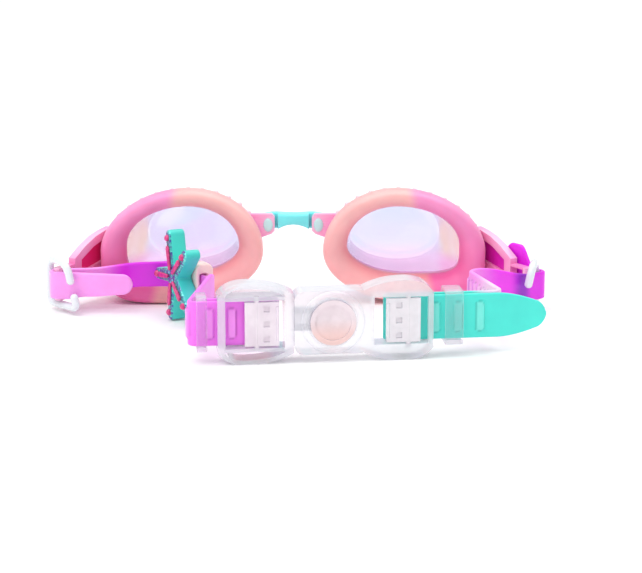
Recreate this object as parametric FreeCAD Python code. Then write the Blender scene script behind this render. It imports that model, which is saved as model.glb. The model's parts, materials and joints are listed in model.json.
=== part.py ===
"""Children's swim goggles, lying closed on a flat surface.

X runs from the wearer's left to the wearer's right, Y points forwards through the lenses and
Z is up.  The origin is on the resting surface, midway between the two eye cups, in the plane
where the seals meet the face.  The parts are drawn about the plane in which the seals are
widest, and moved to the origin when they are written.  Every length is in millimetres.
"""
import FreeCAD, Part
import math
import os

os.makedirs("parts", exist_ok=True)

# ---------------------------------------------------------------- driving dimensions
CUP_SPACING = 79.5          # between the centres of the two eye cups
SEAL_WIDTH = 58.0           # outer width of one seal
SEAL_HEIGHT = 41.3          # outer height of one seal
SEAL_BACK_Y = -4.5          # crest of the seal that meets the face
SEAL_FRONT_Y = 6.0          # where the seal meets the rim
RIM_FRONT_Y = 16.0
LENS_SEAT_Y = (8.0, 10.0)   # the groove in the rim that holds the lens flange
LENS_FRONT_Y = 22.2
LENS_WALL = 1.4
REST_TRIM = 0.3             # how much of the seal's lowest edge is flattened to rest on

PEG_X = 9.1                 # pegs of the nose bridge, also the axes that the halves swing on
PEG_Z = 26.7
PEG_SIZE = (2.7, 4.0)
PEG_PLAY = 0.35
LUG_Y = (8.0, 11.0)
BRIDGE_TOP = 30.7

STRAP_THICKNESS = 1.5
STRAP_NARROW = 9.9
STRAP_WIDE = 15.0
RIB_HEIGHT = 0.7            # room that is left for the strap's ribs

POST_XY = (82.5, -14.0)     # the strap post at the end of the temple arm, right-hand side
POST_RADIUS = 1.5
FOLD_Z = (5.3, 5.3 + STRAP_NARROW)   # heights of the strap's narrow end round the post
FORK_PLATE = 0.8            # thickness of the fork that carries the post
STRAP_ROOM = 0.1            # between the strap's edges and the fork
ARM_DIRECTION = (-0.558, 0.830)   # from the post forwards to the rim, right-hand side
ARM_THICKNESS = 3.0
ARM_WEB = 0.8               # thin wall left in the arm's two long recesses

CLIP_LEAN = 3.2             # how far the tops of the clips' near legs stand outwards
LOOSE_LOOP = (3.02, -0.35)  # from the right-hand post to the clip's leg inside the strap's loop
LOOP_SPARE = 3.7            # from that leg on to the corner of the loop's mid-line

CLASP_CENTRE = (13.3, -75.5)
CLASP_YAW = 7.0             # degrees
CLASP_HALF_HEIGHT = 13.25
CLASP_BACK = -5.6           # clasp thickness, from the outside ...
CLASP_FRONT = 2.8           # ... to the side that touches the head
HUB_RADIUS = 10.5
BUTTON_RADIUS = 7.5
BEZEL = (9.2, 1.3)          # ring round the button: radius of its mid-line and of its section
BAR_OFFSET = 19.5           # strap bar from the hub's centre
BAR_RADIUS = 0.9
LEVER_PIVOT = (24.8, -4.3)  # lever pivot from the hub's centre, along and across the clasp
PIVOT_RADIUS = 0.9
RUNNING_CLEARANCE = 0.05

STAR_RADIUS = 16.2
STAR_THICKNESS = 6.0
STAR_BACK_XY = (-36.3, -26.3)
STAR_NORMAL_DEG = 25.5      # direction from the charm's face to its back
STAR_CENTRE_Z = 16.25
STAR_ARMS_DEG = (187, 260, 322, 41, 103)   # direction of each arm in the charm's own plane
STUD_AT = 13.4              # studs of the charm, from its middle
LOOP_ALONG = (2.0, 8.0)     # the charm's loop: its reach along the strap
LOOP_OUT = 6.4              # and out from the charm's back

# Eye-cup outlines in the X-Z plane, about the cup's centre.  Each is four quarter ovals that
# meet at the nose, the top (at peak), the temple and the bottom (at foot); side is the height
# of the nose and temple points.  A power of 2 is an ellipse and a higher one is squarer.
SEAL_EDGE = dict(nose=-SEAL_WIDTH / 2, temple=SEAL_WIDTH / 2, low=-REST_TRIM, high=SEAL_HEIGHT,
                 side=19.0, peak=-2.4, foot=5.0, powers=(1.9, 2.0, 2.0, 3.5))
OPENING = dict(nose=-20.4, temple=19.8, low=9.9, high=34.9,
               side=20.6, peak=-2.4, foot=0.0, powers=(2.0, 2.0, 1.9, 4.6))
LENS_FACE = dict(nose=-19.6, temple=13.3, low=11.6, high=34.4,
                 side=21.5, peak=-3.0, foot=-2.0, powers=(2.0, 2.0, 2.0, 2.2))
RIM_SECTIONS = ((SEAL_FRONT_Y, 0.95, 40.6), (9.0, 0.97, 39.9), (RIM_FRONT_Y, 0.72, 37.4))
STUD_EDGE = (12.8, 0.84, 38.65)
# Each rim section is (depth, share between OPENING and SEAL_EDGE, height of its top); the studs
# sit on an outline of the same kind.  The lens flange and its groove are shares as well.
FLANGE_SHARE = 0.29
GROOVE_SHARE = 0.30


# ---------------------------------------------------------------- small helpers
def vec(x, y, z):
    return FreeCAD.Vector(x, y, z)


def box(x_range, y_range, z_range):
    """A box given by its lowest and highest value along each axis."""
    corner = vec(x_range[0], y_range[0], z_range[0])
    return Part.makeBox(x_range[1] - x_range[0], y_range[1] - y_range[0],
                        z_range[1] - z_range[0], corner)


def mirrored(shape):
    return shape.mirror(vec(0, 0, 0), vec(1, 0, 0))


def extruded(wire, direction):
    return Part.Face(wire).extrude(direction)


def blend_outline(share):
    """An outline between OPENING (share 0) and SEAL_EDGE (share 1)."""
    mixed = {}
    for key, inner in OPENING.items():
        outer = SEAL_EDGE[key]
        if key == "powers":
            mixed[key] = tuple(a + (b - a) * share for a, b in zip(inner, outer))
        else:
            mixed[key] = inner + (outer - inner) * share
    return mixed


def grown(outline, amount):
    """The same outline, larger by amount all round."""
    bigger = dict(outline)
    bigger["nose"] -= amount
    bigger["temple"] += amount
    bigger["low"] -= amount
    bigger["high"] += amount
    return bigger


def outline_point(outline, angle):
    """Point of an eye-cup outline at an angle, 0 at the temple and a quarter turn at the top."""
    across = math.cos(angle)
    up = math.sin(angle)
    top_temple, top_nose, low_nose, low_temple = outline["powers"]
    if up >= 0:
        middle = outline["peak"]
        tall = outline["high"] - outline["side"]
        power = top_temple if across >= 0 else top_nose
    else:
        middle = outline["foot"]
        tall = outline["side"] - outline["low"]
        power = low_temple if across >= 0 else low_nose
    wide = outline["temple"] - middle if across >= 0 else middle - outline["nose"]
    x = middle + wide * math.copysign(abs(across) ** (2 / power), across)
    z = outline["side"] + tall * math.copysign(abs(up) ** (2 / power), up)
    return CUP_SPACING / 2 + x, z


def outline_wire(outline, y, points=40):
    """Closed smooth wire of an eye-cup outline, at depth y."""
    places = []
    for index in range(points):
        x, z = outline_point(outline, 2 * math.pi * index / points)
        places.append(vec(x, y, z))
    curve = Part.BSplineCurve()
    curve.interpolate(Points=places, PeriodicFlag=True)
    return Part.Wire(curve.toShape())


def outline_loft(sections):
    """Solid through outlines given as (depth, outline) pairs."""
    wires = [outline_wire(outline, y) for y, outline in sections]
    return Part.makeLoft(wires, True, True)


# ---------------------------------------------------------------- eye cups, right-hand side
def seal():
    """Soft ring: rolled outer edge, crest towards the face, lip that slopes into the opening."""
    outside = outline_loft([(SEAL_BACK_Y, blend_outline(0.80)), (-2.2, blend_outline(1.0)),
                            (2.0, blend_outline(1.0)), (SEAL_FRONT_Y, blend_outline(0.93))])
    inside = outline_loft([(SEAL_BACK_Y, blend_outline(0.45)), (-1.0, blend_outline(0.12)),
                           (2.0, blend_outline(0.0)), (SEAL_FRONT_Y, blend_outline(0.0))])
    below = box((0, CUP_SPACING), (-20, 20), (-5, 0))
    return outside.cut(inside).cut(below)


def lens():
    """Clear cup: flat front, walls that slope in at the temple, and a flange for the rim."""
    outside = outline_loft([(LENS_SEAT_Y[0], blend_outline(0.19)),
                            (LENS_FRONT_Y - LENS_WALL, grown(LENS_FACE, LENS_WALL)),
                            (LENS_FRONT_Y, grown(LENS_FACE, 0.4))])
    inside = outline_loft([(LENS_SEAT_Y[0], blend_outline(0.03)),
                           (LENS_FRONT_Y - LENS_WALL, LENS_FACE)])
    flange = outline_loft([(LENS_SEAT_Y[0], blend_outline(FLANGE_SHARE)),
                           (LENS_SEAT_Y[1], blend_outline(FLANGE_SHARE))])
    return outside.fuse(flange).cut(inside)


def temple_arm():
    """Flat tapering arm with two long recesses a side, and a fork that carries the strap post."""
    along = vec(ARM_DIRECTION[0], ARM_DIRECTION[1], 0)
    across = vec(ARM_DIRECTION[1], -ARM_DIRECTION[0], 0)
    post = vec(POST_XY[0], POST_XY[1], 0)

    def plate(outline, thickness, middle=0.0):
        start = across * (middle - thickness / 2)
        places = [post + along * t + vec(0, 0, z) + start for t, z in outline]
        return extruded(Part.makePolygon(places + places[:1]), across * thickness)

    arm = plate([(7.4, 4.0), (19.0, 6.5), (28.5, 7.5), (28.5, 25.8), (24.0, 25.2), (19.0, 24.0),
                 (13.0, 21.4), (7.4, 18.0)], ARM_THICKNESS)
    recesses = [[(11.0, 12.4), (25.0, 15.0), (25.0, 22.6), (18.0, 20.6), (11.0, 17.0)],
                [(12.0, 8.2), (25.0, 9.6), (25.0, 12.6), (12.0, 10.2)]]
    for side in (-1, 1):
        for recess in recesses:
            arm = arm.cut(plate(recess, ARM_THICKNESS, side * (ARM_THICKNESS + ARM_WEB) / 2))
    fork_reach, fork_thickness = 9.0, 2.8
    low = FOLD_Z[0] - STRAP_ROOM - FORK_PLATE
    high = FOLD_Z[1] + STRAP_ROOM + FORK_PLATE
    for bottom in (low, high - FORK_PLATE):
        top = bottom + FORK_PLATE
        outline = [(0, bottom), (fork_reach, bottom), (fork_reach, top), (0, top)]
        arm = arm.fuse(plate(outline, fork_thickness))
    return arm.fuse(Part.makeCylinder(POST_RADIUS, high - low, post + vec(0, 0, low)))


def nose_lug():
    """Plate on the rim's nose side, with the hole for the bridge's peg."""
    low, high = LUG_Y
    reach = PEG_X - 2.4
    corners = [(reach, 24.6), (reach, 29.6), (reach + 1.0, 30.6), (15.5, 30.6),
               (15.5, 21.5), (12.5, 21.8), (reach + 1.2, 23.4)]
    places = [vec(x, low, z) for x, z in corners]
    return extruded(Part.makePolygon(places + places[:1]), vec(0, high - low, 0))


def oval_rod(size, y_range, x=PEG_X):
    """Oval bar along Y at a peg's place."""
    half_wide, half_tall = size[0] / 2, size[1] / 2
    ellipse = Part.Ellipse(vec(0, 0, 0), half_tall, half_wide).toShape()
    wire = Part.Wire(ellipse)
    wire.rotate(vec(0, 0, 0), vec(0, 0, 1), 90)
    wire.rotate(vec(0, 0, 0), vec(1, 0, 0), 90)
    wire.translate(vec(x, y_range[0], PEG_Z))
    return extruded(wire, vec(0, y_range[1] - y_range[0], 0))


def rim():
    """Rim with its temple arm, strap post and nose lug, in one moulding."""
    ring = outline_loft([(y, dict(blend_outline(share), high=top))
                         for y, share, top in RIM_SECTIONS])
    behind = outline_loft([(SEAL_BACK_Y, blend_outline(1.03)), (SEAL_FRONT_Y, blend_outline(1.03))])
    ring = ring.fuse(temple_arm().cut(behind)).fuse(nose_lug())
    back_hole = outline_loft([(SEAL_FRONT_Y - 1, blend_outline(0.06)),
                              (LENS_SEAT_Y[0], blend_outline(0.06))])
    groove = outline_loft([(LENS_SEAT_Y[0], blend_outline(GROOVE_SHARE)),
                           (LENS_SEAT_Y[1], blend_outline(GROOVE_SHARE))])
    front_hole = outline_loft([(LENS_SEAT_Y[1], blend_outline(0.22)),
                               (RIM_FRONT_Y + 1, blend_outline(0.22))])
    hole_size = (PEG_SIZE[0] + 2 * PEG_PLAY, PEG_SIZE[1] + 2 * PEG_PLAY)
    peg_hole = oval_rod(hole_size, (LUG_Y[0] - 1, LUG_Y[1] + 1))
    return ring.cut(back_hole).cut(groove).cut(front_hole).cut(peg_hole)


def rim_studs(rim_solid, count=20, radius=1.15):
    """Small domes that sit on the rim's sloping front edge, round the top and the temple."""
    y, share, top = STUD_EDGE
    edge = dict(blend_outline(share), high=top)
    first_angle, swept = -62, 220
    domes = []
    for index in range(count):
        angle = math.radians(first_angle + swept * index / (count - 1))
        x, z = outline_point(edge, angle)
        domes.append(Part.makeSphere(radius, vec(x, y, z)).cut(rim_solid))
    return Part.makeCompound([dome.Solids[0] for dome in domes])


def nose_bridge():
    """Soft bar between the lugs, with an end plate and a peg at each side."""
    low, high = LUG_Y
    front = (high + 0.5, high + 3.2)
    arch = [(-5.6, 24.9), (-5.6, BRIDGE_TOP), (5.6, BRIDGE_TOP), (5.6, 24.9), (0, 26.6)]
    places = [vec(x, low + 0.2, z) for x, z in arch]
    top = Part.makePolygon([places[0], places[1], places[2], places[3]])
    under = Part.Arc(places[3], places[4], places[0]).toShape()
    bar = extruded(Part.Wire(top.Edges + [under]), vec(0, front[1] - low - 0.2, 0))
    plate = box((-PEG_X - 2.2, PEG_X + 2.2), front, (PEG_Z - 2.4, PEG_Z + 3.6))
    upright = [edge for edge in plate.Edges if abs(edge.tangentAt(edge.FirstParameter).y) > 0.9]
    plate = plate.makeFillet(2.0, upright)
    window = box((-5.6, 5.6), front, (PEG_Z - 3, PEG_Z + 5))
    plate = plate.cut(window)
    bridge = bar.fuse(plate)
    for x in (-PEG_X, PEG_X):
        bridge = bridge.fuse(oval_rod(PEG_SIZE, (low - 0.6, front[0] + 0.4), x))
    return bridge.removeSplitter()


# ---------------------------------------------------------------- straps
def rounded_path(corners, arc_steps=10):
    """Points and directions along a line of (x, y, radius) corners, with the corners rounded."""
    points = [vec(x, y, 0) for x, y, radius in corners]
    samples = []
    for index, here in enumerate(points):
        radius = corners[index][2]
        if index == 0 or index == len(points) - 1:
            inner = 1 if index == 0 else index - 1
            heading = (points[inner] - here).normalize()
            samples.append((here, heading if index == 0 else heading.negative()))
            continue
        arriving = (here - points[index - 1]).normalize()
        leaving = (points[index + 1] - here).normalize()
        turn = math.atan2(arriving.x * leaving.y - arriving.y * leaving.x, arriving.dot(leaving))
        start = here - arriving * (radius * math.tan(abs(turn) / 2))
        side = vec(-arriving.y, arriving.x, 0) * math.copysign(radius, turn)
        centre = start + side
        for step in range(arc_steps + 1):
            swept = turn * step / arc_steps
            spoke = FreeCAD.Rotation(vec(0, 0, 1), math.degrees(swept)).multVec(side.negative())
            heading = FreeCAD.Rotation(vec(0, 0, 1), math.degrees(swept)).multVec(arriving)
            samples.append((centre + spoke, heading))
    return samples


def between(pairs, value):
    """Straight-line interpolation in a rising list of (key, (low, high)) pairs."""
    for (key_a, ends_a), (key_b, ends_b) in zip(pairs, pairs[1:]):
        if value <= key_b:
            share = max(0.0, (value - key_a) / (key_b - key_a))
            return tuple(a + (b - a) * share for a, b in zip(ends_a, ends_b))
    return pairs[-1][1]


def strap_band(corners, heights, tip_lengths, tail_taper=(1.0, 1.0)):
    """Flat strap on edge along a rounded path.

    heights lists (distance along the path, (lower edge, upper edge)), tip_lengths gives how
    long the rounded tip at each end is, and tail_taper the length over which the last end
    narrows and the share of its width that is left there.
    """
    samples = rounded_path(corners)
    stations = []
    travelled = 0.0
    longest_step = 4.0
    for index, (place, heading) in enumerate(samples):
        if index:
            previous, old_heading = samples[index - 1]
            gap = (place - previous).Length
            pieces = max(1, int(gap / longest_step))
            for piece in range(1, pieces):
                stations.append((travelled + gap * piece / pieces,
                                 previous + (place - previous) * (piece / pieces), old_heading))
            travelled += gap
        stations.append((travelled, place, heading))
    total = travelled
    for end, length in zip((0, 1), tip_lengths):
        base = 0.0 if end == 0 else total
        inward = 1 if end == 0 else -1
        place, heading = samples[0] if end == 0 else samples[-1]
        for share in (0.1, 0.3, 0.6):
            step = inward * length * share
            stations.append((base + step, place + heading * step, heading))
    taper_length, taper_share = tail_taper
    stations.sort(key=lambda station: station[0])
    sections = []
    for distance, place, heading in stations:
        low, high = between(heights, distance)
        to_tip = min(distance / tip_lengths[0], (total - distance) / tip_lengths[1], 1.0)
        fullness = math.sqrt(max(0.0, 1 - (1 - to_tip) ** 2)) * 0.85 + 0.15
        left_over = min((total - distance) / taper_length, 1.0)
        narrowing = taper_share + (1 - taper_share) * math.sin(left_over * math.pi / 2)
        middle = (low + high) / 2
        half = (high - low) / 2 * fullness * narrowing
        side = vec(-heading.y, heading.x, 0) * (STRAP_THICKNESS / 2)
        low_z, high_z = vec(0, 0, middle - half), vec(0, 0, middle + half)
        ring = [place - side + low_z, place + side + low_z,
                place + side + high_z, place - side + high_z]
        sections.append(Part.makePolygon(ring + ring[:1]))
    return Part.makeLoft(sections, True, True)


def clasp_xy(along, across):
    """Plan position of a point given along and across the clasp from the hub's centre."""
    yaw = math.radians(CLASP_YAW)
    return (CLASP_CENTRE[0] + along * math.cos(yaw) - across * math.sin(yaw),
            CLASP_CENTRE[1] + along * math.sin(yaw) + across * math.cos(yaw))


def star_xy(along, out):
    """Plan position along the charm's width and out from its back."""
    angle = math.radians(STAR_NORMAL_DEG)
    return (STAR_BACK_XY[0] + along * math.sin(angle) + out * math.cos(angle),
            STAR_BACK_XY[1] - along * math.cos(angle) + out * math.sin(angle))


WRAP_RADIUS = POST_RADIUS + 0.1 + STRAP_THICKNESS / 2       # strap's mid-line round a post
BAR_WRAP = BAR_RADIUS + 0.05 + STRAP_THICKNESS / 2          # and round a clasp bar
STRAP_IN_LOOP = 2.85                                        # strap's mid-line behind the charm
STRAP_Z = (CLASP_HALF_HEIGHT - STRAP_WIDE / 2, CLASP_HALF_HEIGHT + STRAP_WIDE / 2)


def left_strap():
    """From the folded tip at the arm, behind the charm, to the plug's bar and back."""
    post_x, post_y = -POST_XY[0], POST_XY[1]
    corners = [(-56.0, -19.6, 0),
               (post_x - WRAP_RADIUS, post_y - WRAP_RADIUS, WRAP_RADIUS),
               (post_x - WRAP_RADIUS, post_y + WRAP_RADIUS, WRAP_RADIUS),
               (-42.8, -8.5, 6.0),
               star_xy(16.0, STRAP_IN_LOOP) + (6.0,),
               clasp_xy(-46.8, -BAR_WRAP) + (2.2,),
               clasp_xy(-BAR_OFFSET + BAR_WRAP, -BAR_WRAP) + (BAR_WRAP - 0.01,),
               clasp_xy(-BAR_OFFSET + BAR_WRAP, BAR_WRAP) + (BAR_WRAP - 0.01,),
               clasp_xy(-43.0, BAR_WRAP) + (0,)]
    heights = [(0, (7.6, 14.8)), (16, (6.4, 15.0)), (24, FOLD_Z), (44, FOLD_Z),
               (64, (8.0, 17.0)), (86, (8.0, 17.6)), (100, (8.0, 17.6)), (114, STRAP_Z),
               (400, STRAP_Z)]
    return strap_band(corners, heights, (3.6, 2.0))


def right_strap():
    """From the tip on the arm's outer side, loosely round the post, to the bar and the tail."""
    post = vec(POST_XY[0], POST_XY[1], 0)
    along = vec(ARM_DIRECTION[0], ARM_DIRECTION[1], 0)
    outward = vec(ARM_DIRECTION[1], -ARM_DIRECTION[0], 0)
    tip = post + outward * WRAP_RADIUS + along * 14.5
    loop_out = vec(LOOSE_LOOP[0], LOOSE_LOOP[1], 0)
    loop_corner = post + loop_out + loop_out * (LOOP_SPARE / loop_out.Length)
    corners = [(tip.x, tip.y, 0),
               (loop_corner.x, loop_corner.y, WRAP_RADIUS),
               (60.6, -37.7, 4.0),
               clasp_xy(57.0, BAR_WRAP) + (3.0,),
               clasp_xy(BAR_OFFSET - BAR_WRAP, BAR_WRAP) + (BAR_WRAP - 0.01,),
               clasp_xy(BAR_OFFSET - BAR_WRAP, -BAR_WRAP) + (BAR_WRAP - 0.01,),
               clasp_xy(71.0, -BAR_WRAP) + (0,)]
    heights = [(0, (13.8, 22.8)), (7, (13.0, 22.8)), (13, FOLD_Z), (30, FOLD_Z), (40, (6.0, 18.0)),
               (50, STRAP_Z), (400, STRAP_Z)]
    return strap_band(corners, heights, (3.6, 3.0), tail_taper=(17.0, 0.45))


def split_clip(far_xy, near_xy, lean, rod=1.4, gap=(6.6, 12.6)):
    """Round-rod ring round the strap's fold, open for a short stretch in its nearer leg.

    lean is how much further along X the top of the nearer leg stands than its foot.
    """
    past_fork = STRAP_ROOM + FORK_PLATE + 0.35 + rod
    low = FOLD_Z[0] - past_fork
    high = FOLD_Z[1] + past_fork + 0.8
    wide, tight = 4.0, 2.0          # how far the bends reach from the ring's corners
    slope = lean / (high - low)

    def near_at(height):
        return vec(near_xy[0] + slope * (height - sum(FOLD_Z) / 2), near_xy[1], height)

    def bend(corner, toward_a, toward_b, reach):
        half = toward_a.getAngle(toward_b) / 2
        inward = (toward_a + toward_b).normalize()
        middle = corner + inward * (reach * (1 - math.sin(half)) / math.cos(half))
        return Part.Arc(corner + toward_a * reach, middle, corner + toward_b * reach).toShape()

    near_top, near_low = near_at(high), near_at(low)
    far_top, far_low = vec(far_xy[0], far_xy[1], high), vec(far_xy[0], far_xy[1], low)
    corners = [near_at(gap[1]), near_top, far_top, far_low, near_low, near_at(gap[0])]
    reaches = [0, wide, wide, tight, tight, 0]
    edges = []
    for index in range(1, len(corners)):
        before, here = corners[index - 1], corners[index]
        ahead = (here - before).normalize()
        edges.append(Part.makeLine(before + ahead * reaches[index - 1],
                                   here - ahead * reaches[index]))
        if reaches[index]:
            leaving = (corners[index + 1] - here).normalize()
            edges.append(bend(here, ahead.negative(), leaving, reaches[index]))
    profile = Part.Wire(Part.makeCircle(rod, corners[0], (near_top - near_low).normalize()))
    ring = Part.Wire(edges).makePipeShell([profile], True, False)
    return ring.fuse(Part.makeSphere(rod, corners[0])).fuse(Part.makeSphere(rod, corners[-1]))


# ---------------------------------------------------------------- clasp, in its own frame
def to_clasp(shape):
    """Move a shape from the clasp's own frame (hub centre at the origin) to its place."""
    shape.rotate(vec(0, 0, 0), vec(0, 0, 1), CLASP_YAW)
    shape.translate(vec(CLASP_CENTRE[0], CLASP_CENTRE[1], CLASP_HALF_HEIGHT))
    return shape


def lobe(inner_x, outer_x, inset, y_range):
    """Petal-shaped half of the clasp between two distances from the hub."""
    length = outer_x - inner_x
    top = CLASP_HALF_HEIGHT - inset
    upper = [vec(inner_x + inset, y_range[0], top - 3.6),
             vec(inner_x + 0.26 * length, y_range[0], top - 1.0),
             vec(inner_x + 0.55 * length, y_range[0], top),
             vec(inner_x + 0.82 * length, y_range[0], top - 0.7),
             vec(outer_x - inset, y_range[0], top - 4.2)]
    lower = [vec(point.x, point.y, -point.z) for point in reversed(upper)]
    upper_curve = Part.BSplineCurve()
    upper_curve.interpolate(Points=upper)
    lower_curve = Part.BSplineCurve()
    lower_curve.interpolate(Points=lower)
    wire = Part.Wire([upper_curve.toShape(), Part.makeLine(upper[-1], lower[0]),
                      lower_curve.toShape(), Part.makeLine(lower[-1], upper[0])])
    return extruded(wire, vec(0, y_range[1] - y_range[0], 0))


THICKNESS = (CLASP_BACK, CLASP_FRONT)
WINDOW_HALF = STRAP_WIDE / 2 + 0.4
CHEEK_HALF = WINDOW_HALF + 1.2


def strap_bar(x):
    return Part.makeCylinder(BAR_RADIUS, 2 * WINDOW_HALF + 1, vec(x, 0, -WINDOW_HALF - 0.5))


def strap_mouth(x_range):
    """The two gaps that let the strap's layers past the end bar."""
    height = (-WINDOW_HALF, WINDOW_HALF)
    near = box(x_range, (-BAR_WRAP - STRAP_THICKNESS / 2 - RIB_HEIGHT - 0.35, -0.7), height)
    far = box(x_range, (0.7, CLASP_FRONT + 1), height)
    return near.fuse(far)


def pivot_hole(x):
    half = CHEEK_HALF + 0.2
    return Part.makeCylinder(PIVOT_RADIUS + RUNNING_CLEARANCE, 2 * half,
                             vec(x, LEVER_PIVOT[1], -half))


def trimmed_floor(shape):
    """Give the lowest edge of a clasp half a narrow flat to rest on."""
    return shape.cut(box((-60, 60), (-20, 20), (-CLASP_HALF_HEIGHT - 5, -CLASP_HALF_HEIGHT)))


def clasp_plug():
    """Left half: thin outer bow, lever cheeks, strap bar and the forked tongue."""
    inner_x, outer_x = 12.9, 37.4
    bow = lobe(inner_x, outer_x, -0.12, THICKNESS)
    opening = lobe(inner_x, outer_x, 1.4, (CLASP_BACK - 1, CLASP_FRONT + 1))
    plug = bow.cut(opening)
    for side in (-1, 1):
        z_range = sorted((side * WINDOW_HALF, side * CHEEK_HALF))
        plug = plug.fuse(box((inner_x + 0.8, outer_x - 1.0), THICKNESS, z_range))
    head = box((inner_x, 15.7), THICKNESS, (-CHEEK_HALF, CHEEK_HALF))
    end = box((outer_x - 2.4, outer_x), THICKNESS, (-CHEEK_HALF, CHEEK_HALF))
    plug = plug.fuse(head).fuse(end).fuse(strap_bar(BAR_OFFSET))
    plug = plug.cut(strap_mouth((outer_x - 3, outer_x + 1)))
    plug = plug.cut(pivot_hole(LEVER_PIVOT[0]))
    plug = plug.mirror(vec(0, 0, 0), vec(1, 0, 0))
    return to_clasp(trimmed_floor(plug.fuse(tongue()).removeSplitter()))


TONGUE_Y = (0.2, 1.7)
TONGUE_ROOM = 0.6           # each side of the tongue in its cavity, for the swing
TONGUE_HALF = 3.6
TONGUE_TIP = -4.5


def tongue():
    """Two prongs that reach into the hub on either side of the button's stem."""
    prong = box((-13.4, TONGUE_TIP), TONGUE_Y, (2.1, TONGUE_HALF))
    other = box((-13.4, TONGUE_TIP), TONGUE_Y, (-TONGUE_HALF, -2.1))
    root = box((-13.4, -12.0), TONGUE_Y, (-TONGUE_HALF, TONGUE_HALF))
    return prong.fuse(other).fuse(root)


BUTTON_Y = (CLASP_BACK - 0.4, CLASP_BACK + 1.2)   # button's face and underside
SPRING_FLOOR = -2.4
STEM_RADIUS = 1.4
STEM_X = -5.0


def clasp_socket():
    """Right half: round hub with the button's well, lever cheeks, window and strap bar."""
    hub = box((-12.6, 12.0), THICKNESS, (-HUB_RADIUS, HUB_RADIUS))
    edges = [edge for edge in hub.Edges if abs(edge.tangentAt(edge.FirstParameter).y) > 0.9]
    hub = hub.makeFillet(3.0, edges)
    socket = hub.fuse(lobe(9.0, 32.8, -0.12, THICKNESS))
    window = box((13.5, 31.2), (CLASP_BACK - 1, CLASP_FRONT + 1), (-WINDOW_HALF, WINDOW_HALF))
    socket = socket.cut(window).fuse(strap_bar(BAR_OFFSET))
    socket = socket.cut(strap_mouth((30, 34)))
    # the walls above and below the window carry the lever's pivots
    socket = socket.cut(pivot_hole(LEVER_PIVOT[0]))
    well = Part.makeCylinder(BUTTON_RADIUS + 0.15, SPRING_FLOOR - CLASP_BACK + 1,
                             vec(0, CLASP_BACK - 1, 0), vec(0, 1, 0))
    cavity = box((-13.6, -3.2), (TONGUE_Y[0] - TONGUE_ROOM, TONGUE_Y[1] + TONGUE_ROOM),
                 (-TONGUE_HALF - 0.2, TONGUE_HALF + 0.2))
    stem_hole = Part.makeCylinder(STEM_RADIUS + 0.15, 4, vec(STEM_X, -3, 0), vec(0, 1, 0))
    bezel = Part.makeTorus(BEZEL[0], BEZEL[1], vec(0, CLASP_BACK + 0.4, 0), vec(0, 1, 0))
    socket = socket.fuse(bezel).cut(well).cut(cavity).cut(stem_hole)
    return to_clasp(trimmed_floor(socket.removeSplitter()))


def release_button():
    """Round button with a raised rim, and the stem that reaches between the prongs."""
    face, under = BUTTON_Y
    disc = Part.makeCylinder(BUTTON_RADIUS, under - face, vec(0, face, 0), vec(0, 1, 0))
    dish = Part.makeCylinder(BUTTON_RADIUS - 1.6, 0.5, vec(0, face, 0), vec(0, 1, 0))
    stem_end = TONGUE_Y[0] + 0.6
    stem = Part.makeCylinder(STEM_RADIUS, stem_end - under + 0.2,
                             vec(STEM_X, under - 0.2, 0), vec(0, 1, 0))
    return to_clasp(disc.cut(dish).fuse(stem))


def button_spring():
    """Dished spring washer between the button and the floor of its well."""
    top, bottom = BUTTON_Y[1] + 0.02, SPRING_FLOOR - 0.02
    small, large = 1.8, 4.5
    sheet = 0.3
    beside_stem = 1.2
    corners = [vec(small, top, 0), vec(small + 0.4, top, 0), vec(large, bottom - sheet, 0),
               vec(large, bottom, 0), vec(large - 0.4, bottom, 0), vec(small, top + sheet, 0)]
    profile = Part.Face(Part.makePolygon(corners + corners[:1]))
    washer = profile.revolve(vec(0, 0, 0), vec(0, 1, 0), 360)
    washer.translate(vec(beside_stem, 0, 0))
    return to_clasp(washer)


def strap_lever(side):
    """Tip-up plate over the strap, with three small pockets and a pivot at each end."""
    pivot_x, pivot_y = LEVER_PIVOT
    half = STRAP_WIDE / 2 - 0.2
    pocket_floor = pivot_y - 0.2
    plate = box((17.5, pivot_x + 3.9), (pivot_y - 0.85, pivot_y + 0.75), (-half, half))
    for height in (-5.0, 0.0, 5.0):
        plate = plate.cut(box((20.6, 22.6), (pivot_y - 2, pocket_floor), (height - 1, height + 1)))
    grip = Part.makeCylinder(0.5, 2 * half - 3, vec(18.0, pivot_y - 0.85, -half + 1.5))
    pivots = Part.makeCylinder(PIVOT_RADIUS, 2 * CHEEK_HALF - 0.4,
                               vec(pivot_x, pivot_y, -CHEEK_HALF + 0.2))
    lever = plate.fuse(grip).fuse(pivots)
    if side == "left":
        lever = lever.mirror(vec(0, 0, 0), vec(1, 0, 0))
    return to_clasp(lever)


def keeper(x_range):
    """Rectangular loop round both layers of the strap."""
    inner_y = BAR_WRAP + STRAP_THICKNESS / 2 + RIB_HEIGHT + 0.4
    inner_z = STRAP_WIDE / 2 + 0.3
    wall = 1.3
    outside = box(x_range, (-inner_y - wall, inner_y + wall), (-inner_z - wall, inner_z + wall))
    outside = outside.makeFillet(1.0, [edge for edge in outside.Edges
                                       if abs(edge.tangentAt(edge.FirstParameter).x) > 0.9])
    inside = box((x_range[0] - 1, x_range[1] + 1), (-inner_y, inner_y), (-inner_z, inner_z))
    return to_clasp(outside.cut(inside))


# ---------------------------------------------------------------- starfish charm

def to_star(shape):
    """Move a shape built in the X-Z plane, with its back at Y = 0, to the charm's place."""
    shape.rotate(vec(0, 0, 0), vec(0, 0, 1), STAR_NORMAL_DEG - 90)
    shape.translate(vec(STAR_BACK_XY[0], STAR_BACK_XY[1], STAR_CENTRE_Z))
    return shape


def arm_angles():
    return [math.radians(degrees) for degrees in STAR_ARMS_DEG]


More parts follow.
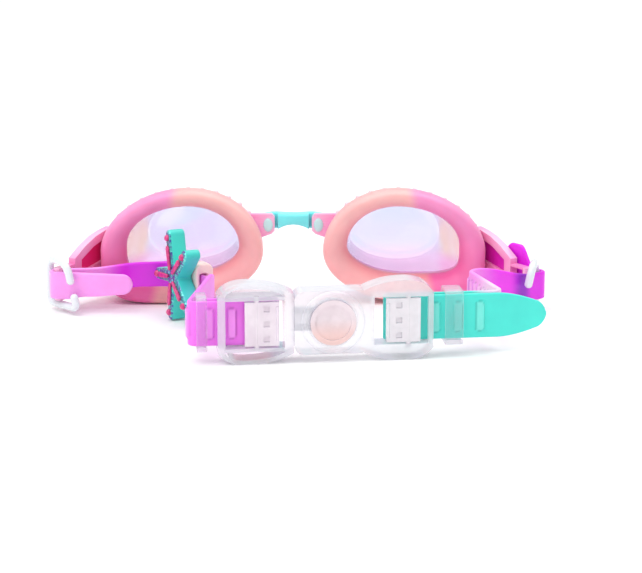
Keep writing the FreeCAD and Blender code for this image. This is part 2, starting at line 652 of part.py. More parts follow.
def arm_bar(angle, near, far, near_half, far_half, y_range):
    """Tapering bar with a round outer end, along one arm."""
    out = vec(math.cos(angle), 0, math.sin(angle))
    side = vec(-math.sin(angle), 0, math.cos(angle))
    back = vec(0, y_range[0], 0)
    end = far - far_half
    corners = [back + out * near + side * near_half, back + out * end + side * far_half,
               back + out * far,
               back + out * end - side * far_half, back + out * near - side * near_half]
    wire = Part.Wire([Part.makeLine(corners[0], corners[1]),
                      Part.Arc(corners[1], corners[2], corners[3]).toShape(),
                      Part.makeLine(corners[3], corners[4]),
                      Part.makeLine(corners[4], corners[0])])
    return extruded(wire, vec(0, y_range[1] - y_range[0], 0))


def star_body():
    body = Part.makeCylinder(4.2, STAR_THICKNESS, vec(0, -STAR_THICKNESS, 0), vec(0, 1, 0))
    for angle in arm_angles():
        body = body.fuse(arm_bar(angle, 0.0, STAR_RADIUS, 3.5, 2.0, (-STAR_THICKNESS, 0)))
    return to_star(body.removeSplitter())


def star_rays():
    face = -STAR_THICKNESS
    bars = [arm_bar(angle, 2.6, 10.8, 0.7, 1.0, (face - 0.9, face)) for angle in arm_angles()]
    return to_star(Part.makeCompound(bars))


def star_studs():
    studs = []
    for angle in arm_angles():
        place = vec(STUD_AT * math.cos(angle), -STAR_THICKNESS, STUD_AT * math.sin(angle))
        studs.append(Part.makeSphere(1.2, place, vec(0, -1, 0), 0, 90))
    return to_star(Part.makeCompound(studs))


def star_loop():
    """Loop across the charm's back, with the slot that the strap runs through."""
    low, high = 5.6 - STAR_CENTRE_Z, 21.4 - STAR_CENTRE_Z
    outside = box(LOOP_ALONG, (0, LOOP_OUT), (low, high))
    edges = [edge for edge in outside.Edges
             if abs(edge.tangentAt(edge.FirstParameter).x) > 0.9 and edge.BoundBox.YMin > 3]
    outside = outside.makeFillet(2.0, edges)
    slot_low, slot_high = 7.5 - STAR_CENTRE_Z, 18.1 - STAR_CENTRE_Z
    slot = box((LOOP_ALONG[0] - 1, LOOP_ALONG[1] + 1), (1.4, 4.3), (slot_low, slot_high))
    return to_star(outside.cut(slot))


# ---------------------------------------------------------------- build
right_rim = rim()
right_rim_studs = rim_studs(right_rim)
nodes = {
    "nose_bridge": nose_bridge(),
    "right_frame": right_rim,
    "left_frame": mirrored(right_rim),
    "right_lens": lens(),
    "left_lens": mirrored(lens()),
    "right_gasket": seal(),
    "left_gasket": mirrored(seal()),
    "right_frame_studs": right_rim_studs,
    "left_frame_studs": mirrored(right_rim_studs),
    "right_clip": split_clip((POST_XY[0] + LOOSE_LOOP[0], POST_XY[1] + LOOSE_LOOP[1]),
                             (81.7, -24.9), CLIP_LEAN),
    "left_clip": split_clip((-86.0, -9.3), (-77.2, -20.2), -CLIP_LEAN),
    "left_strap": left_strap(),
    "right_strap": right_strap(),
    "clasp_plug": clasp_plug(),
    "clasp_socket": clasp_socket(),
    "release_button": release_button(),
    "button_spring": button_spring(),
    "left_lever": strap_lever("left"),
    "right_lever": strap_lever("right"),
    "left_keeper": keeper((-44.2, -40.8)),
    "right_keeper": keeper((37.0, 43.0)),
    "star_body": star_body(),
    "star_rays": star_rays(),
    "star_studs": star_studs(),
    "star_loop": star_loop(),
}
for name, shape in nodes.items():
    shape.translate(vec(0, -SEAL_BACK_Y, 0))
    shape.exportStep("parts/" + name + ".step")
    print(name, len(shape.Solids), shape.isValid(), round(shape.Volume, 1))
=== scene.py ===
"""Looks of the swim goggles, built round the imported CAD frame.

Shapes are worked out in millimetres in the frame's own axes (X to the wearer's right, Y forwards,
Z up, origin where the seals meet the face) and turned into metres when a mesh is made.
"""
import json
import math

import bmesh
import bpy
from mathutils import Matrix, Vector


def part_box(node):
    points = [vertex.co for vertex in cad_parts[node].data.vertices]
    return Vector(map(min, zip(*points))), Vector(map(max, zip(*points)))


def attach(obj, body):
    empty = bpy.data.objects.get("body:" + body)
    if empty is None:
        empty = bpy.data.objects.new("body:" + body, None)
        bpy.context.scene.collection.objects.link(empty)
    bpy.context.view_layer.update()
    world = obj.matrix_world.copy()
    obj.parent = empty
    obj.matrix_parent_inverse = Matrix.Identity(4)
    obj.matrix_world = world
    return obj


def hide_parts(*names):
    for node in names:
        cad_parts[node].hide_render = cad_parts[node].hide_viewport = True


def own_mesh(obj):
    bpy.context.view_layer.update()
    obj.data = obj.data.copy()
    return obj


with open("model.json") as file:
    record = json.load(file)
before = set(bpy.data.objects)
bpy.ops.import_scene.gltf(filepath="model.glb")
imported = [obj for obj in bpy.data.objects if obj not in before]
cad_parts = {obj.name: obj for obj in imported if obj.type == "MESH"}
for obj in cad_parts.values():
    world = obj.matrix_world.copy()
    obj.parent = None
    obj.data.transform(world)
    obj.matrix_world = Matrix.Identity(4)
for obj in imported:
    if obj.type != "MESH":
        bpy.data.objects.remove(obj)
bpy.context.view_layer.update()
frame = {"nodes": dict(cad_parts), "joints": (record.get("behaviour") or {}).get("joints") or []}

MM = 0.001
NODES = frame["nodes"]
JOINTS = {joint["name"]: joint for joint in frame["joints"]}


# ---------------------------------------------------------------- places from the frame
def box_mm(node):
    """Lowest and highest corner of a CAD node, in millimetres."""
    low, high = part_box(node)
    return low / MM, high / MM


seal_low, seal_high = box_mm("right_gasket")
CUP_X = (seal_low.x + seal_high.x) / 2
SEAL_HALF = 29.0
SEAL_TOP = 41.3
SEAL_FRONT = seal_high.y
rim_low, rim_high = box_mm("right_frame")
POST_RADIUS = 1.5
POST = Vector((rim_high.x - POST_RADIUS, rim_low.y + POST_RADIUS, 0))
LENS_LOW, LENS_HIGH = box_mm("right_lens")

ARM_ALONG = Vector((-0.558, 0.830, 0))           # temple arm, from its post to the rim
RECESS_WALL = (-0.62, 0.62)                      # thin wall in its recesses, across the arm
RECESS_REACH = (10.6, 25.4)                      # and along it, from the post

left_pivot = Vector(JOINTS["left_lever_tip"]["pos_m"]) / MM
right_pivot = Vector(JOINTS["right_lever_tip"]["pos_m"]) / MM
PIVOT_DEPTH = 4.3                                # lever pivots stand this far outside the bars
CLASP_ALONG = (right_pivot - left_pivot).normalized()
CLASP_IN = Vector((-CLASP_ALONG.y, CLASP_ALONG.x, 0))
CLASP_CENTRE = (left_pivot + right_pivot) / 2 + CLASP_IN * PIVOT_DEPTH

STAR_ALONG = Vector(JOINTS["charm_slide"]["axis"])
STAR_OUT = Vector((-STAR_ALONG.y, STAR_ALONG.x, 0))
loop_low, loop_high = box_mm("star_loop")
LOOP_ALONG = (2.0, 8.0)                          # the loop's reach along the charm
LOOP_OUT = (0.0, 6.4)                            # and out from its back
STAR_BACK = ((loop_low + loop_high) / 2 - STAR_ALONG * sum(LOOP_ALONG) / 2
             - STAR_OUT * sum(LOOP_OUT) / 2)
STAR_BACK.z = 16.25
STAR_THICKNESS = 6.0
STAR_RADIUS = 16.2
STAR_ARMS = [math.radians(degrees) for degrees in (187, 260, 322, 41, 103)]
STUD_AT = 13.4                                   # studs of the charm, from its middle

STRAP_THICKNESS = 1.5
STRAP_WIDE = 15.0
STRAP_NARROW = 9.9
STRAP_Z = (left_pivot.z - STRAP_WIDE / 2, left_pivot.z + STRAP_WIDE / 2)
FOLD_LOW = 5.3                                   # lower edge of the narrow stretch at the arm
FOLD_Z = (FOLD_LOW, FOLD_LOW + STRAP_NARROW)
BAR_OFFSET = 19.5                                # strap bars, from the clasp's middle
BAR_RADIUS = 0.9
BAR_WRAP = BAR_RADIUS + 0.05 + STRAP_THICKNESS / 2       # strap's mid-line round a bar
WRAP_RADIUS = POST_RADIUS + 0.1 + STRAP_THICKNESS / 2    # and round a post
LOOSE_LOOP = Vector((3.02, -0.35, 0))            # right post to the clip's leg in the loop
LOOP_SPARE = 3.7                                 # and on to the corner of the loop's mid-line
RIB_HEIGHT = 0.65
RIB_PITCH = 7.3
RIB_ALONG = (1.05, 1.65)                         # where a rib's crest and its foot end
RIB_ACROSS = (0.66, 0.78)                        # the same across, as shares of the strap

SPRING_DEPTHS = (-4.38, -2.42)                   # spring washer's two faces
SPRING_RADII = (1.8, 4.5)
SPRING_SHEET = 0.3
STUD_RADIUS = 1.2
KEEPER_HALF_LONG = {"left_keeper": 1.7, "right_keeper": 3.0}
PEG_HALF = (1.35, 2.0)                           # bridge peg, across and up


def clasp_xy(along, across):
    place = CLASP_CENTRE + CLASP_ALONG * along + CLASP_IN * across
    return place.x, place.y


def star_xy(along, out):
    place = STAR_BACK + STAR_ALONG * along + STAR_OUT * out
    return place.x, place.y


# ---------------------------------------------------------------- colours
def srgb(red, green, blue):
    """Linear colour of an 8-bit display colour."""
    def linear(value):
        share = value / 255
        return share / 12.92 if share <= 0.04045 else ((share + 0.055) / 1.055) ** 2.4
    return linear(red), linear(green), linear(blue)


def mix(first, second, share):
    share = max(0.0, min(1.0, share))
    return tuple(a + (b - a) * share for a, b in zip(first, second))


def smooth(low, high, value):
    """0 below low, 1 above high, and a smooth rise between."""
    share = max(0.0, min(1.0, (value - low) / (high - low)))
    return share * share * (3 - 2 * share)


PEACH = srgb(248, 194, 189)
# painted shade colour of the peach half of the seal
PEACH_SHADE = srgb(246, 156, 160)
PINK = srgb(244, 152, 200)
# painted shade colour of the pink half of the seal
PINK_SHADE = srgb(240, 104, 168)
RIM_PINK = srgb(244, 140, 196)
MAGENTA = srgb(222, 40, 226)
ORCHID = srgb(244, 158, 234)
TURQUOISE = srgb(72, 226, 212)
BRIDGE_AQUA = srgb(124, 242, 242)
PALE_AQUA = srgb(196, 240, 238)
LAVENDER = srgb(232, 232, 255)
STAR_TEAL = srgb(64, 212, 198)
HOT_PINK = srgb(238, 70, 140)
LOOP_PEACH = srgb(250, 222, 216)
CLEAR_TINT = srgb(244, 244, 248)
# painted shade of clear plastic at its grazing edges
CLEAR_EDGE_SHADE = srgb(212, 217, 228)
BLUSH = srgb(248, 232, 238)
WHITE = (1.0, 1.0, 1.0)


# ---------------------------------------------------------------- mesh helpers
def finish_mesh(obj, sharp_degrees=38.0):
    """Merge, turn the faces outwards, shade smooth and keep real corners sharp."""
    mesh = obj.data
    work = bmesh.new()
    work.from_mesh(mesh)
    bmesh.ops.remove_doubles(work, verts=work.verts, dist=1e-7)
    bmesh.ops.recalc_face_normals(work, faces=work.faces)
    for face in work.faces:
        face.smooth = True
    limit = math.radians(sharp_degrees)
    for edge in work.edges:
        edge.smooth = len(edge.link_faces) != 2 or edge.calc_face_angle() < limit
    work.to_mesh(mesh)
    work.free()
    return obj


def link_object(name, data):
    """New object in the scene's own collection."""
    obj = bpy.data.objects.new(name, data)
    bpy.context.scene.collection.objects.link(obj)
    return obj


def set_tints(mesh, tints):
    """Give each place of a mesh its own colour, for tint_colour to read."""
    layer = mesh.color_attributes.new("tint", "FLOAT_COLOR", "POINT")
    layer.data.foreach_set("color", [part for tint in tints for part in (*tint, 1.0)])


def around(count):
    """Evenly spaced angles of one full turn."""
    return [2 * math.pi * step / count for step in range(count)]


def mesh_object(name, places, faces, tints=None):
    """Object from places in millimetres; tints gives each place a colour."""
    mesh = bpy.data.meshes.new(name)
    mesh.from_pydata([tuple(place[i] * MM for i in range(3)) for place in places], [], faces)
    if tints:
        set_tints(mesh, tints)
    return link_object(name, mesh)


def skin(name, rings, closed=False, tint=None):
    """Surface through rings of equally many places; closed joins the last ring to the first,
    and otherwise both ends are capped."""
    count = len(rings[0])
    places = [place for ring in rings for place in ring]
    faces = []
    for index in range(len(rings) if closed else len(rings) - 1):
        base, after = index * count, (index + 1) % len(rings) * count
        for i in range(count):
            j = (i + 1) % count
            faces.append((base + i, base + j, after + j, after + i))
    if not closed:
        for end, ring in ((0, rings[0]), (len(rings) - 1, rings[-1])):
            centre = tuple(sum(place[axis] for place in ring) / count for axis in range(3))
            places.append(centre)
            faces += [(end * count + i, end * count + (i + 1) % count, len(places) - 1)
                      for i in range(count)]
    tints = [tint(place) for place in places] if tint else None
    return finish_mesh(mesh_object(name, places, faces, tints))


def join(name, parts):
    """One object from several; the first one's material stays in the first slot."""
    work = bmesh.new()
    materials = []
    for part in parts:
        before = len(work.faces)
        work.from_mesh(part.data)
        work.faces.ensure_lookup_table()
        slots = [slot.material for slot in part.material_slots] or [None]
        for face in work.faces[before:]:
            material = slots[face.material_index]
            if material not in materials:
                materials.append(material)
            face.material_index = materials.index(material)
    mesh = bpy.data.meshes.new(name)
    work.to_mesh(mesh)
    work.free()
    for material in materials:
        mesh.materials.append(material)
    for part in parts:
        bpy.data.objects.remove(part)
    return link_object(name, mesh)


def mirrored_object(obj, name):
    """Copy on the other side of the goggles."""
    mesh = obj.data.copy()
    mesh.transform(Matrix.Scale(-1, 4, (1, 0, 0)))
    mesh.flip_normals()
    return link_object(name, mesh)


# ---------------------------------------------------------------- material helpers
def add(tree, kind, inputs=None, **settings):
    """Add a shader node; a socket given as an input value is linked."""
    made = tree.nodes.new(kind)
    for key, value in settings.items():
        setattr(made, key, value)
    for key, value in (inputs or {}).items():
        if isinstance(value, bpy.types.NodeSocket):
            tree.links.new(value, made.inputs[key])
        elif isinstance(value, tuple) and len(value) == 3 and made.inputs[key].type == "RGBA":
            made.inputs[key].default_value = (*value, 1.0)
        else:
            made.inputs[key].default_value = value
    return made


def start_material(name):
    material = bpy.data.materials.new(name)
    material.use_nodes = True
    material.node_tree.nodes.clear()
    return material, material.node_tree


def finish_solid(tree, inputs):
    """End a material with one principled shader."""
    shader = add(tree, "ShaderNodeBsdfPrincipled", inputs)
    add(tree, "ShaderNodeOutputMaterial", {"Surface": shader.outputs["BSDF"]})


def finish_see_through(tree, weight, through, inputs):
    """End a material with a principled shader that hides a share of what lies behind it."""
    solid = add(tree, "ShaderNodeBsdfPrincipled", inputs)
    clear = add(tree, "ShaderNodeBsdfTransparent", {"Color": through})
    mixed = add(tree, "ShaderNodeMixShader", {0: weight, 1: clear.outputs[0],
                                              2: solid.outputs[0]})
    add(tree, "ShaderNodeOutputMaterial", {"Surface": mixed.outputs[0]})


def object_place(tree):
    return add(tree, "ShaderNodeTexCoord").outputs["Object"]


def math_value(tree, operation, *values, clamp=False):
    made = add(tree, "ShaderNodeMath", dict(enumerate(values)), operation=operation,
               use_clamp=clamp)
    return made.outputs["Value"]


def dot_value(tree, first, second):
    made = add(tree, "ShaderNodeVectorMath", {0: first, 1: second}, operation="DOT_PRODUCT")
    return made.outputs["Value"]


def noise_value(tree, scale, detail=3.0, roughness=0.5):
    made = add(tree, "ShaderNodeTexNoise", {"Vector": object_place(tree), "Scale": scale,
                                            "Detail": detail, "Roughness": roughness})
    return made.outputs["Fac"]


def remap(tree, value, low, high, to_low=0.0, to_high=1.0):
    made = add(tree, "ShaderNodeMapRange", {"Value": value, "From Min": low, "From Max": high,
                                            "To Min": to_low, "To Max": to_high})
    return made.outputs["Result"]


def mix_colour(tree, factor, first, second, mode="MIX"):
    made = add(tree, "ShaderNodeMix", data_type="RGBA", blend_type=mode)
    for index, value in ((0, factor), (6, first), (7, second)):
        socket = made.inputs[index]
        if isinstance(value, bpy.types.NodeSocket):
            tree.links.new(value, socket)
        elif isinstance(value, tuple):
            socket.default_value = (*value, 1.0)
        else:
            socket.default_value = value
    return made.outputs[2]


def tint_colour(tree):
    return add(tree, "ShaderNodeAttribute", attribute_name="tint").outputs["Color"]


def bumped(tree, height, strength, distance=0.0002, normal=None):
    inputs = {"Height": height, "Strength": strength, "Distance": distance}
    if normal is not None:
        inputs["Normal"] = normal
    return add(tree, "ShaderNodeBump", inputs).outputs["Normal"]


def silicone(name, colour=None, rough=0.42, glow=0.22):
    """Soft satin rubber: cloudy colour, faint moulded grain, a little light inside."""
    material, tree = start_material(name)
    base = tint_colour(tree) if colour is None else colour
    clouds = remap(tree, noise_value(tree, 90.0), 0.3, 0.7)
    darker = mix_colour(tree, 1.0, base, (0.90, 0.88, 0.90), "MULTIPLY")
    shaded = mix_colour(tree, clouds, darker, base)
    grain = noise_value(tree, 2600.0, 2.0)
    soft_wave = noise_value(tree, 160.0, 2.0)
    normal = bumped(tree, grain, 0.12, 0.00008, bumped(tree, soft_wave, 0.10, 0.0004))
    roughness = remap(tree, noise_value(tree, 420.0, 4.0), 0.2, 0.8, rough - 0.07, rough + 0.07)
    finish_solid(tree, {
        "Base Color": shaded, "Roughness": roughness, "Subsurface Weight": glow,
        "Subsurface Radius": (1.0, 0.6, 0.6), "Subsurface Scale": 0.0015,
        "Sheen Weight": 0.12, "Sheen Roughness": 0.4, "Normal": normal,
        "Specular IOR Level": 0.45})
    return material


def moulded(name, colour, rough=0.24, coat=0.35):
    """Glossy injection-moulded plastic: flow marks, tiny scratches, edges lighter where sharp."""
    material, tree = start_material(name)
    flow = remap(tree, noise_value(tree, 60.0, 5.0), 0.3, 0.75)
    lighter = mix(colour, WHITE, 0.12)
    base = mix_colour(tree, flow, colour, lighter)
    # lighter towards sharp convex edges
    edge = add(tree, "ShaderNodeNewGeometry").outputs["Pointiness"]
    edge_lightening = remap(tree, edge, 0.52, 0.62)
    base = mix_colour(tree, edge_lightening, base, mix(colour, WHITE, 0.35))
    scuffs = remap(tree, noise_value(tree, 900.0, 6.0, 0.7), 0.45, 0.8, rough, rough + 0.14)
    normal = bumped(tree, noise_value(tree, 240.0, 3.0), 0.08, 0.0003)
    finish_solid(tree, {
        "Base Color": base, "Roughness": scuffs, "Coat Weight": coat, "Coat Roughness": 0.1,
        "Subsurface Weight": 0.12, "Subsurface Radius": (1.0, 0.7, 0.7),
        "Subsurface Scale": 0.001, "Normal": normal})
    return material


def clear_plastic(name, tint, body=0.2, edge=0.85, low_tint=None):
    """See-through moulding: faint face-on, painted grey-blue shade towards its edges, with
    highlights.

    low_tint, if given, colours its lower half.
    """
    material, tree = start_material(name)
    facing = add(tree, "ShaderNodeLayerWeight", {"Blend": 0.4}).outputs["Facing"]
    cloud = noise_value(tree, 130.0, 3.0)
    weight = remap(tree, facing, 0.1, 0.9, body, edge)
    streak = remap(tree, cloud, 0.3, 0.7, 0.88, 1.12)
    weight = math_value(tree, "MULTIPLY", weight, streak, clamp=True)
    normal = bumped(tree, noise_value(tree, 320.0, 2.0), 0.15, 0.0003)
    face = tint
    if low_tint:
        height = add(tree, "ShaderNodeSeparateXYZ", {"Vector": object_place(tree)}).outputs["Z"]
        low_share = remap(tree, height, (CLASP_CENTRE.z - 4.5) * MM,
                          (CLASP_CENTRE.z + 1) * MM, 1, 0)
        face = mix_colour(tree, low_share, tint, low_tint)
    # painted shade: grey-blue towards the grazing edges
    colour = mix_colour(tree, facing, face, CLEAR_EDGE_SHADE)
    finish_see_through(tree, weight, mix(tint, WHITE, 0.72), {
        "Base Color": colour, "Roughness": remap(tree, cloud, 0.3, 0.7, 0.07, 0.16),
        "Specular IOR Level": 0.6, "Coat Weight": 0.6, "Coat Roughness": 0.05,
        "Normal": normal})
    return material


def mirror_lens(name):
    """Thin mirror coat on pale lavender plastic: tinted see-through with a shifting sheen."""
    material, tree = start_material(name)
    tint = tint_colour(tree)
    facing = add(tree, "ShaderNodeLayerWeight", {"Blend": 0.4}).outputs["Facing"]
    drift = noise_value(tree, 45.0, 2.0)
    shift = math_value(tree, "ADD", facing, drift)
    sheen = mix_colour(tree, remap(tree, shift, 0.6, 1.5), tint, srgb(255, 206, 236))
    half_tint = add(tree, "ShaderNodeGamma", {"Color": tint, "Gamma": 0.5}).outputs["Color"]
    finish_see_through(tree, remap(tree, facing, 0.0, 1.0, 0.22, 0.7), half_tint, {
        "Base Color": sheen, "Metallic": 0.35, "Roughness": 0.12, "Coat Weight": 0.8,
        "Coat Roughness": 0.03, "Normal": bumped(tree, drift, 0.05, 0.0006)})
    return material


def rim_plastic_shaded_recesses(name, side, recess_wall_shade):
    """Rim plastic whose thin walls in the temple arm's recesses carry painted shade in a deeper
    colour.
    """
    material = moulded(name, RIM_PINK, 0.3, 0.3)
    tree = material.node_tree
    surface = next(node for node in tree.nodes if node.type == "BSDF_PRINCIPLED")
    across = Vector((side * ARM_ALONG.y, -ARM_ALONG.x, 0))
    along = Vector((side * ARM_ALONG.x, ARM_ALONG.y, 0))
    post = Vector((side * POST.x, POST.y, 0)) * MM
    from_post = add(tree, "ShaderNodeVectorMath", {0: object_place(tree), 1: post},
                    operation="SUBTRACT").outputs["Vector"]
    normal = add(tree, "ShaderNodeTexCoord").outputs["Normal"]
    facing = math_value(tree, "ABSOLUTE", dot_value(tree, normal, across))
    share = math_value(tree, "GREATER_THAN", facing, 0.8)
    for direction, (low, high) in ((across, RECESS_WALL), (along, RECESS_REACH)):
        centred = math_value(tree, "SUBTRACT", dot_value(tree, from_post, direction),
                             (low + high) / 2 * MM)
        inside = math_value(tree, "LESS_THAN", math_value(tree, "ABSOLUTE", centred),
                            (high - low) / 2 * MM)
        share = math_value(tree, "MULTIPLY", share, inside)
    plain = surface.inputs["Base Color"].links[0].from_socket
    # painted shade in a deeper colour on the recess walls
    tinted = mix_colour(tree, share, plain, recess_wall_shade)
    tree.links.new(tinted, surface.inputs["Base Color"])
    return material


def glitter(name):
    """Teal face of the charm: coarse flakes of blue, violet and aqua glitter in clear varnish."""
    material, tree = start_material(name)
    cells = add(tree, "ShaderNodeTexVoronoi", {"Vector": object_place(tree), "Scale": 1500.0},
                feature="F1")
    picked = add(tree, "ShaderNodeSeparateColor", {"Color": cells.outputs["Color"]})
    ramp = add(tree, "ShaderNodeValToRGB", {"Fac": picked.outputs["Red"]})
    stops = ramp.color_ramp.elements
    stops[0].color = (*srgb(46, 74, 150), 1)
    stops[1].color = (*srgb(120, 240, 228), 1)
    for position, colour in ((0.25, srgb(92, 80, 160)), (0.45, srgb(40, 150, 160)),
                             (0.75, srgb(70, 206, 194))):
        stop = stops.new(position)
        stop.color = (*colour, 1)
    height = picked.outputs["Green"]
    finish_solid(tree, {
        "Base Color": ramp.outputs["Color"], "Metallic": 0.35,
        "Roughness": remap(tree, picked.outputs["Blue"], 0, 1, 0.15, 0.5),
        "Coat Weight": 0.5, "Coat Roughness": 0.1,
        "Normal": bumped(tree, height, 0.9, 0.0004)})
    return material


def pebbled(name, colour, valley_shade):
    """Hot-pink raised trim: small beads, with painted shade darkening the valleys between them."""
    material, tree = start_material(name)
    cells = add(tree, "ShaderNodeTexVoronoi", {"Vector": object_place(tree), "Scale": 900.0},
                feature="SMOOTH_F1")
    # painted shade: darker towards the valleys between the beads
    near = remap(tree, cells.outputs["Distance"], 0.0, 0.7)
    base = mix_colour(tree, near, colour, valley_shade)
    rise = remap(tree, cells.outputs["Distance"], 0.0, 0.7, 1.0, 0.0)
    finish_solid(tree, {
        "Base Color": base, "Roughness": 0.3, "Coat Weight": 0.4,
        "Normal": bumped(tree, rise, 0.8, 0.0005)})
    return material


def spring_steel(name):
    material, tree = start_material(name)
    lines = add(tree, "ShaderNodeTexWave", {"Vector": object_place(tree), "Scale": 900.0,
                                            "Distortion": 2.0})
    rough = remap(tree, lines.outputs["Fac"], 0, 1, 0.22, 0.4)
    finish_solid(tree, {
        "Base Color": (0.62, 0.63, 0.66), "Metallic": 1.0, "Roughness": rough,
        "Normal": bumped(tree, lines.outputs["Fac"], 0.2, 0.0001)})
    return material


def floor_paper(name):
    material, tree = start_material(name)
    grain = noise_value(tree, 350.0, 4.0)
    share = remap(tree, grain, 0.3, 0.7)
    colour = mix_colour(tree, share, (0.955, 0.955, 0.955), (0.975, 0.975, 0.975))
    finish_solid(tree, {
        "Base Color": colour, "Roughness": 0.75, "Specular IOR Level": 0.2,
        "Normal": bumped(tree, grain, 0.03, 0.0002)})
    return material


def set_material(obj, material):
    obj.data.materials.clear()
    obj.data.materials.append(material)
    return obj


# ---------------------------------------------------------------- eye-cup outlines
# Four quarter ovals that meet at the nose, the top (at peak), the temple and the bottom (at
# foot), about the cup's centre; side is the height of the nose and temple points. powers is the
# quarters' fullness: temple and nose above, nose and temple below.
SEAL_EDGE = dict(nose=-SEAL_HALF, temple=SEAL_HALF, low=0.0, high=SEAL_TOP,
                 side=19.0, peak=-2.4, foot=5.0, powers=(1.9, 2.0, 2.0, 3.5))
OPENING = dict(nose=-20.4, temple=19.8, low=9.9, high=34.9,
               side=20.6, peak=-2.4, foot=0.0, powers=(2.0, 2.0, 1.9, 4.6))
LENS_FACE = dict(nose=-19.6, temple=13.3, low=11.6, high=34.4,
                 side=21.5, peak=-3.0, foot=-2.0, powers=(2.0, 2.0, 2.0, 2.2))


def blend_outline(share, first=OPENING, second=SEAL_EDGE):
    mixed = {}
    for key, value in first.items():
        if key == "powers":
            mixed[key] = tuple(a + (b - a) * share for a, b in zip(value, second[key]))
        else:
            mixed[key] = value + (second[key] - value) * share
    return mixed


def grown(outline, amount):
    bigger = dict(outline)
    bigger["nose"] -= amount
    bigger["temple"] += amount
    bigger["low"] -= amount
    bigger["high"] += amount
    return bigger


def outline_ring(outline, depth, points=120):
    """Places round an eye-cup outline of the right-hand cup, at one depth."""
    ring = []
    top_temple, top_nose, low_nose, low_temple = outline["powers"]
    for angle in around(points):
        across, up = math.cos(angle), math.sin(angle)
        if up >= 0:
            middle, tall = outline["peak"], outline["high"] - outline["side"]
            power = top_temple if across >= 0 else top_nose
        else:
            middle, tall = outline["foot"], outline["side"] - outline["low"]
            power = low_temple if across >= 0 else low_nose
        wide = outline["temple"] - middle if across >= 0 else middle - outline["nose"]
        x = middle + wide * math.copysign(abs(across) ** (2 / power), across)
        z = outline["side"] + tall * math.copysign(abs(up) ** (2 / power), up)
        ring.append((CUP_X + x, depth, z))
    return ring


def seal_tint_and_shade(place):
    """Peach on the nose side and pink on the temple side, with painted shade deeper towards the
    opening and the bottom.
    """
    x, z = place[0] - CUP_X, place[2]
    boundary = 2.5 + (SEAL_TOP - z) * 0.2
    temple_share = smooth(boundary - 2.2, boundary + 2.2, x)
    # painted shade: darker into the opening and towards the bottom, lighter towards the top
    depth = smooth(0.9, 4.5, place[1])
    height = smooth(4.0, 36.0, z)
    peach = mix(PEACH_SHADE, PEACH, 0.55 + 0.35 * height - 0.45 * depth)
    pink = mix(PINK_SHADE, PINK, 0.15 + 0.85 * height - 0.35 * depth)
    return mix(peach, pink, temple_share)


def make_seal():
    """Soft seal swept round the outline: rolled outer bead, crest and a thin curling lip."""
    profile = [(0.93, SEAL_FRONT), (0.972, 9.0), (1.0, 7.2), (1.008, 5.6), (1.008, 4.2),
               (0.996, 2.9), (0.965, 1.75), (0.915, 0.85), (0.845, 0.3), (0.76, 0.08),
               (0.66, 0.02), (0.56, 0.12), (0.46, 0.42), (0.36, 0.95), (0.26, 1.7),
               (0.17, 2.6), (0.09, 3.6), (0.035, 4.6), (0.004, 5.6), (-0.004, 6.4),
               (0.010, 7.1), (0.045, 7.6), (0.06, 8.6), (0.06, SEAL_FRONT), (0.5, SEAL_FRONT)]
    rings = []
    for share, depth in profile:
        outline = blend_outline(share)
        outline["low"] = max(outline["low"], 0.06)
        rings.append(outline_ring(outline, depth))
    return skin("right_seal", rings, closed=True, tint=seal_tint_and_shade)


def lens_tint(place):
    """Lavender face, warmer towards the rim, cream on the temple wall."""
    x, depth, z = place[0] - CUP_X, place[1], place[2]
    low_share = 1 - smooth(11.0, 19.0, z)
    face = mix(LAVENDER, srgb(250, 226, 254), low_share)
    temple = smooth(12.6, 14.6, x)
    band = 0.5 + 0.5 * math.sin(2.1 * x + 0.5 * depth + 0.12 * z)
    wall = mix(srgb(255, 248, 244), srgb(255, 230, 206), band ** 2)
    wall = mix(wall, srgb(250, 196, 236), 1 - smooth(11.5, 16.5, z))
    return mix(face, wall, temple)


def make_lens():
    """Closed cup: domed face, rounded shoulder, sloping wall, flange, and the inside again."""
    back, front = LENS_LOW.y, LENS_HIGH.y
    wall, shoulder = 1.4, 1.3
    seat_front = back + 2.0
    outer = LENS_FACE
    rings = []
    for grow, depth in ((-9.0, 0.0), (-6.0, 0.02), (-3.0, 0.06), (-0.8, 0.14), (0.3, 0.24),
                        (0.9, 0.55), (wall, shoulder)):
        rings.append(outline_ring(grown(outer, grow), front - depth))
    base = blend_outline(0.19)
    for share in (0.3, 0.6, 0.85):
        shape = blend_outline(share, grown(outer, wall), base)
        rings.append(outline_ring(shape, front - shoulder
                                  + (seat_front - front + shoulder) * share))
    for share, depth in ((0.19, seat_front), (0.28, seat_front), (0.29, seat_front - 0.2),
                         (0.29, back + 0.2), (0.28, back), (0.04, back), (0.03, back + 0.2)):
        rings.append(outline_ring(blend_outline(share), depth))
    inner_base = blend_outline(0.03)
    for share in (0.3, 0.6, 0.85, 0.97):
        shape = blend_outline(share, inner_base, outer)
        rings.append(outline_ring(shape, back + 0.2 + (front - wall - back - 0.2) * share))
    for grow in (-0.8, -3.0, -6.0, -9.0):
        rings.append(outline_ring(grown(outer, grow), front - wall))
    return skin("right_lens_cup", rings, tint=lens_tint)


